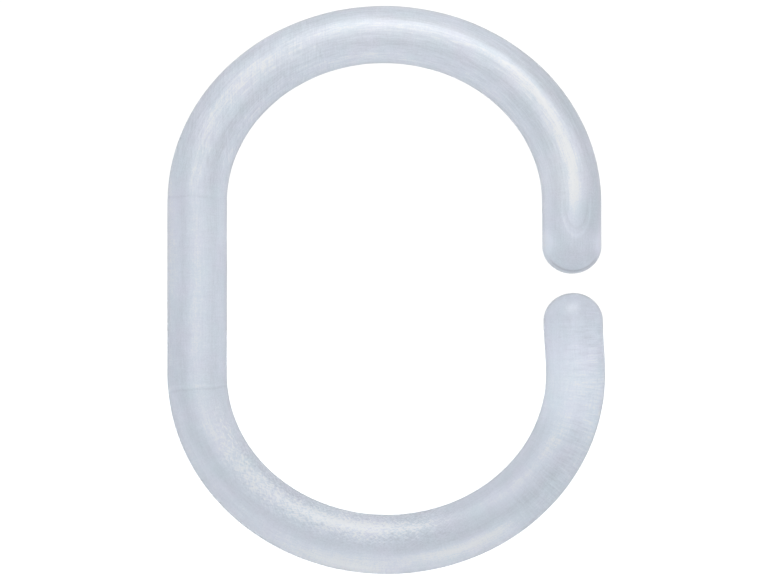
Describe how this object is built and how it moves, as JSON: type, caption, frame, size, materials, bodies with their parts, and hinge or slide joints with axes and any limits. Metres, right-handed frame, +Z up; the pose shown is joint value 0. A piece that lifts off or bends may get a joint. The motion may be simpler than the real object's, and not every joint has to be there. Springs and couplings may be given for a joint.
{
  "type": "shower curtain ring",
  "caption": "One-piece clear plastic C-shaped ring that hangs a shower curtain from a rail, with a straight springy back and domed tips either side of a narrow mouth.",
  "frame": {"origin": "the rail seat: the lowest point of the wire under the crown, at mid thickness, where the ring hangs on its rail", "axes": "+Z up along the ring's long axis, -Y towards the front, +X towards the mouth, with the straight back on -X and the rail running along Y"},
  "size_m": [0.0462, 0.0062, 0.06],
  "materials": {
    "clear_plastic": "satin, translucent"
  },
  "bodies": {
    "upper_half": {"upper_arm": "clear_plastic", "straight_back": "clear_plastic"},
    "lower_half": {"lower_arm": "clear_plastic"}
  },
  "joints": [
    {"name": "back_flex", "type": "hinge", "parent": "upper_half", "child": "lower_half", "pos_m": [-0.01971, 0, -0.02434], "axis": [0, 1, 0], "range_deg": [-2.7, 34], "stiffness_Nm_per_rad": 1.2, "deforming": ["straight_back"]}
  ]
}
